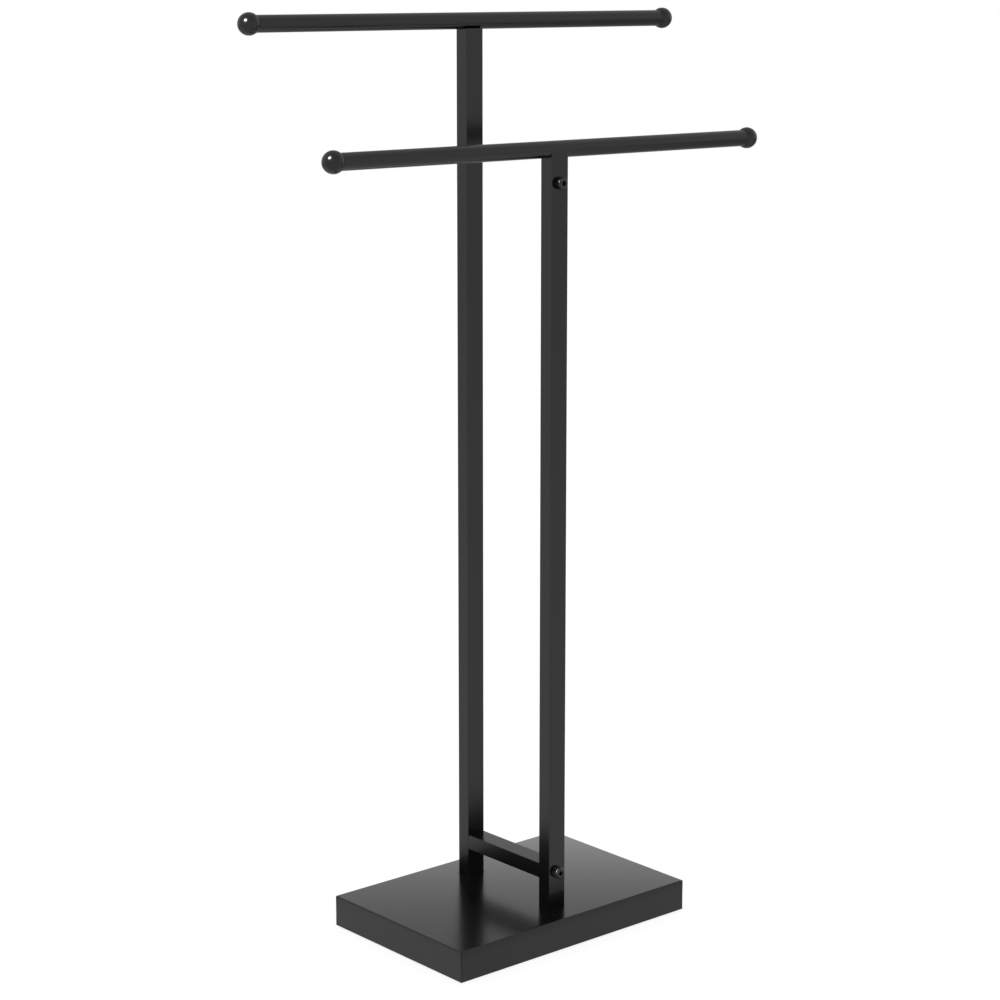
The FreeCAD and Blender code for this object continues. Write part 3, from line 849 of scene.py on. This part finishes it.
for side in ("front", "rear"):
    for end in ("left", "right"):
        centre = middle_of(f"{side}_{end}_foot")
        ring = copy_to(foot, f"{side}_{end}_rubber_foot", (centre.x, centre.y, 0))
        dress(ring, rubber, "foot_rubber", f"{side}_{end}_foot")
        seat = (centre.x, centre.y, web_low)
        places[f"{side}_{end}_foot_screw"] = (seat, POINTING["down"])
screws_like(foot_screw, places, "plated_steel", zinc_plate)
bpy.data.objects.remove(foot)

# %% [markdown]
# ## The pieces that stay as they were packed
# The bottom plate has the right shape already, and the rest is hidden: the ballast, the plugs in
# the tubes, the studs in the balls, the bolts and the inserts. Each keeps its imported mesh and
# gets the finish that it would have in the workshop.

# %% The finish of every solid that stays
STAYS = {
    powder_coat: ["base_bottom_plate"],
    concrete: ["base_ballast"],
    brass: [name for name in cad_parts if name.endswith("_insert")],
    zinc_plate: [
        name
        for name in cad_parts
        if name.endswith(("_plug", "_stud", "_anchor_screw", "_anchor_washer"))
    ],
}
for finish, names in STAYS.items():
    for name in names:
        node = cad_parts[name]
        node.data.materials.clear()
        node.data.materials.append(finish)
    print(finish.name, "on", len(names), "solids")

# %% [markdown]
# ## The floor
# A white studio has one pale sweep for a floor, lit until it is white in the picture. Here the
# floor is a plain white plane, and its material asks each ray where it comes from. What the camera
# and mirror-like surfaces see is part glow and part paint: the glow makes the floor white, and the
# paint keeps the shadow of the stand. What bounces off the floor on to the stand is plain paint, so
# that it doesn't light the stand too much.


# %% The floor, and which rays see it
def blank_tree(owner):
    """Turns on the nodes of a material or a world, and clears them."""
    owner.use_nodes = True
    owner.node_tree.nodes.clear()
    return owner.node_tree


def off_a_mirror(tree, rays):
    """Is 1 for a ray that comes off gloss or through glass, and 0 for any other."""
    return add_node(
        tree,
        "ShaderNodeMath",
        {"operation": "ADD", "use_clamp": True},
        {0: rays.outputs["Is Glossy Ray"], 1: rays.outputs["Is Transmission Ray"]},
    )


FLOOR_SIZE = 16
bpy.ops.mesh.primitive_plane_add(size=FLOOR_SIZE, location=(0, 0, 0))
floor = settle("studio_floor")
floor_paint = bpy.data.materials.new("studio_floor_white_paint")
tree = blank_tree(floor_paint)
rays = add_node(tree, "ShaderNodeLightPath")
mirrored = off_a_mirror(tree, rays)
seen = add_node(
    tree,
    "ShaderNodeMath",
    {"operation": "ADD", "use_clamp": True},
    {0: rays.outputs["Is Camera Ray"], 1: mirrored.outputs["Value"]},
)
place = tree.nodes.new("ShaderNodeTexCoord").outputs["Object"]
print("floor:", [round(side, 2) for side in floor.dimensions], "m")

# %% [markdown]
# What gloss mirrors of the floor isn't even. Past the stand, to the back and the right, the floor
# falls into shade, which darkens the rails along their undersides.

# %% The glow and the paint of the floor
GLOW_SEEN = 0.87
GLOW_MIRRORED = 0.74
GLOW_FAR = 0.25
TO_BACK_RIGHT = (0.757, 0.653, 0)
SHADE_FROM = 0.15
SHADE_TO = 0.6
PAINT_ALONE = (0.75, 0.75, 0.75, 1)
PAINT_UNDER_GLOW = (0.22, 0.22, 0.22, 1)
away = add_node(
    tree, "ShaderNodeVectorMath", {"operation": "DOT_PRODUCT", 1: TO_BACK_RIGHT}, {0: place}
)
dimmed = add_node(
    tree,
    "ShaderNodeMapRange",
    {"From Min": SHADE_FROM, "From Max": SHADE_TO, "To Min": GLOW_MIRRORED, "To Max": GLOW_FAR},
    {"Value": away.outputs["Value"]},
)
strength = add_node(
    tree,
    "ShaderNodeMix",
    {3: GLOW_SEEN},
    {0: rays.outputs["Is Camera Ray"], 2: dimmed.outputs["Result"]},
)
glow = add_node(tree, "ShaderNodeEmission", links={"Strength": strength.outputs[0]})
under_glow = add_node(tree, "ShaderNodeBsdfDiffuse", {"Color": PAINT_UNDER_GLOW})
lit = add_node(
    tree, "ShaderNodeAddShader", links={0: under_glow.outputs["BSDF"], 1: glow.outputs["Emission"]}
)
paint = add_node(tree, "ShaderNodeBsdfDiffuse", {"Color": PAINT_ALONE})

# %% [markdown]
# A band of shade also lies round the base for what is mirrored. It begins just past what the sides
# of the base mirror, so they stay as they are, and the posts and the cross tube show it: the lower
# ends of the posts are dark and turn brighter upwards. Its place is how far a point lies outside
# the base, along X or Y, whichever is more, so the band is a square-cornered frame. A mix with
# nothing joined to its second shader turns to black.

# %% The band of shade
BAND_EDGE = 3 * MM
BAND_START = 74 * MM
BAND_END = 112 * MM
half_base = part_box("base_shell")[1]
from_middle = add_node(tree, "ShaderNodeVectorMath", {"operation": "ABSOLUTE"}, {0: place})
past_base = add_node(
    tree,
    "ShaderNodeVectorMath",
    {"operation": "SUBTRACT", 1: (half_base.x, half_base.y, 0)},
    {0: from_middle.outputs["Vector"]},
)
sides = add_node(tree, "ShaderNodeSeparateXYZ", links={0: past_base.outputs["Vector"]})
outside = add_node(
    tree,
    "ShaderNodeMath",
    {"operation": "MAXIMUM"},
    {0: sides.outputs["X"], 1: sides.outputs["Y"]},
)
near_side = add_node(
    tree,
    "ShaderNodeMapRange",
    {"From Min": BAND_START - BAND_EDGE, "From Max": BAND_START, "To Min": 0, "To Max": 1},
    {"Value": outside.outputs["Value"]},
)
far_side = add_node(
    tree,
    "ShaderNodeMapRange",
    {
        "interpolation_type": "SMOOTHSTEP",
        "From Min": BAND_START,
        "From Max": BAND_END,
        "To Min": 1,
        "To Max": 0,
    },
    {"Value": outside.outputs["Value"]},
)
band = add_node(
    tree,
    "ShaderNodeMath",
    {"operation": "MULTIPLY"},
    {0: near_side.outputs["Result"], 1: far_side.outputs["Result"]},
)
mirrored_band = add_node(
    tree,
    "ShaderNodeMath",
    {"operation": "MULTIPLY"},
    {0: band.outputs["Value"], 1: mirrored.outputs["Value"]},
)
banded = add_node(
    tree,
    "ShaderNodeMixShader",
    links={0: mirrored_band.outputs["Value"], 1: lit.outputs["Shader"]},
)
print("band of shade:", BAND_START, "to", BAND_END, "m outside the base")

# %% The floor put together
either = add_node(
    tree,
    "ShaderNodeMixShader",
    links={0: seen.outputs["Value"], 1: paint.outputs["BSDF"], 2: banded.outputs["Shader"]},
)
add_node(tree, "ShaderNodeOutputMaterial", links={"Surface": either.outputs["Shader"]})
floor.data.materials.append(floor_paint)
print(floor_paint.name, "has", len(tree.nodes), "nodes")

# %% [markdown]
# ## The light
# Black gloss shows the room more than its own colour, so the room is made first: white all round,
# dimmer overhead, as a studio is above its lit walls, and dimmer in the corner that the camera
# looks towards, which the top of the base mirrors. The camera sees the room as plain white, and it
# lights the stand at a plain level. A mirror image of a mirror image, such as the base seen in a
# post, is kept dark, as it is on a real coat, whose ripple scatters what it mirrors twice.

# %% What gloss shows of the room
WALL_LEVEL = 0.91
CEILING_LEVEL = 0.7
WALLS_END = 0.2
CEILING_STARTS = 0.9
AWAY = (0.653, 0.757, 0)
CORNER_EDGE = 0.45
CORNER_HEART = 0.85
CORNER_LEVEL = 0.62
TWICE_MIRRORED = 0.35
world = bpy.data.worlds.new("white_studio")
bpy.context.scene.world = world
tree = blank_tree(world)
rays = add_node(tree, "ShaderNodeLightPath")
way = tree.nodes.new("ShaderNodeTexCoord").outputs["Generated"]
climb = add_node(tree, "ShaderNodeSeparateXYZ", links={0: way})
walls = add_node(
    tree,
    "ShaderNodeMapRange",
    {
        "interpolation_type": "SMOOTHSTEP",
        "From Min": WALLS_END,
        "From Max": CEILING_STARTS,
        "To Min": WALL_LEVEL,
        "To Max": CEILING_LEVEL,
    },
    {"Value": climb.outputs["Z"]},
)
side = add_node(tree, "ShaderNodeVectorMath", {"operation": "DOT_PRODUCT", 1: AWAY}, {0: way})
corner = add_node(
    tree,
    "ShaderNodeMapRange",
    {"From Min": CORNER_EDGE, "From Max": CORNER_HEART, "To Min": 1, "To Max": CORNER_LEVEL},
    {"Value": side.outputs["Value"]},
)
room = add_node(
    tree,
    "ShaderNodeMath",
    {"operation": "MULTIPLY"},
    {0: walls.outputs["Result"], 1: corner.outputs["Result"]},
)
again = add_node(
    tree,
    "ShaderNodeMapRange",
    {"From Min": 1, "From Max": 2, "To Min": 1, "To Max": TWICE_MIRRORED},
    {"Value": rays.outputs["Glossy Depth"]},
)
gloss = add_node(
    tree,
    "ShaderNodeMath",
    {"operation": "MULTIPLY"},
    {0: room.outputs["Value"], 1: again.outputs["Result"]},
)
print(world.name, "has", len(tree.nodes), "nodes for what gloss shows")

# %% What the room gives each kind of ray
ROOM_LIGHT = 0.8
WHITE = 1.0
mirrored = off_a_mirror(tree, rays)
level = add_node(
    tree,
    "ShaderNodeMix",
    {2: ROOM_LIGHT},
    {0: mirrored.outputs["Value"], 3: gloss.outputs["Value"]},
)
seen_level = add_node(
    tree, "ShaderNodeMix", {3: WHITE}, {0: rays.outputs["Is Camera Ray"], 2: level.outputs[0]}
)
background = add_node(
    tree, "ShaderNodeBackground", {"Color": (1, 1, 1, 1)}, {"Strength": seen_level.outputs[0]}
)
add_node(tree, "ShaderNodeOutputWorld", links={"Surface": background.outputs["Background"]})
print("the room lights the stand at", ROOM_LIGHT, "and the camera sees it at", WHITE)

# %% [markdown]
# A square lamp, up on the left and near the rails, gives the balls and the upper screws their
# points of light. A small one does the same for the lowest screw, and light linking keeps it off
# all else, because it would be a white patch on the posts from other sides. Both show in gloss
# only, so that the near ends aren't lit more than the rest.


# %% The lamps
def soft_lamp(name, direction, distance, side, watts, target):
    """A square lamp that looks at a target from a direction and shows in gloss only."""
    way = Vector(direction).normalized()
    place = Vector(target) + way * distance
    turn = way.to_track_quat("Z", "Y").to_euler()
    bpy.ops.object.light_add(type="AREA", location=place, rotation=turn)
    lamp = bpy.context.object
    lamp.name = lamp.data.name = name
    lamp.data.shape = "SQUARE"
    lamp.data.size = side
    lamp.data.energy = watts
    lamp.visible_camera = False
    lamp.visible_diffuse = False
    print(name, "at", [round(c, 2) for c in place])
    return lamp


soft_lamp(
    "key_lamp",
    direction=(-0.60, -0.12, 0.53),
    distance=0.9,
    side=0.28,
    watts=20,
    target=(-0.29, 0, 0.93),
)
screw_lamp = soft_lamp(
    "screw_lamp",
    direction=(-0.81, -0.04, 0.58),
    distance=0.6,
    side=0.12,
    watts=12,
    target=middle_of("front_stretcher_screw"),
)
lit_by_screw_lamp = bpy.data.collections.new("lit_by_screw_lamp")
lit_by_screw_lamp.objects.link(bpy.data.objects["front_stretcher_screw_cap"])
screw_lamp.light_linking.receiver_collection = lit_by_screw_lamp

# %% [markdown]
# A pale card stands on the floor behind the base, square to the way the camera looks. It brightens
# the far corner of the base, as a window does on a polished floor. It glows evenly up to about a
# third of its height and fades out above that, and it shows in gloss only.

# %% The card behind the base
CARD_PLACE = 0.35
CARD_WIDTH = 0.9
CARD_HEIGHT = 0.24
CARD_FADES_FROM = 0.09
CARD_FADE_POWER = 2
CARD_GLOW = 1.2
card_way = Vector(AWAY)
bpy.ops.mesh.primitive_plane_add(
    size=1,
    location=card_way * CARD_PLACE + Vector((0, 0, CARD_HEIGHT / 2)),
    rotation=card_way.to_track_quat("Z", "Y").to_euler(),
    scale=(CARD_WIDTH, CARD_HEIGHT, 1),
)
card = settle("pale_card")
card_paper = bpy.data.materials.new("pale_card_paper")
tree = blank_tree(card_paper)
place = tree.nodes.new("ShaderNodeTexCoord").outputs["Object"]
height = add_node(tree, "ShaderNodeSeparateXYZ", links={0: place})
fade = add_node(
    tree,
    "ShaderNodeMapRange",
    {"From Min": CARD_FADES_FROM, "From Max": CARD_HEIGHT, "To Min": 1, "To Max": 0},
    {"Value": height.outputs["Z"]},
)
gentle_fade = add_node(
    tree,
    "ShaderNodeMath",
    {"operation": "POWER", 1: CARD_FADE_POWER},
    {0: fade.outputs["Result"]},
)
strength = add_node(
    tree,
    "ShaderNodeMath",
    {"operation": "MULTIPLY", 1: CARD_GLOW},
    {0: gentle_fade.outputs["Value"]},
)
glow = add_node(tree, "ShaderNodeEmission", links={"Strength": strength.outputs["Value"]})
clear = add_node(tree, "ShaderNodeBsdfTransparent")
both = add_node(
    tree, "ShaderNodeAddShader", links={0: clear.outputs["BSDF"], 1: glow.outputs["Emission"]}
)
add_node(tree, "ShaderNodeOutputMaterial", links={"Surface": both.outputs["Shader"]})
card.data.materials.append(card_paper)
for ray in ("camera", "diffuse", "shadow", "transmission"):
    setattr(card, f"visible_{ray}", False)
print("card:", [round(side, 2) for side in card.dimensions], "m")
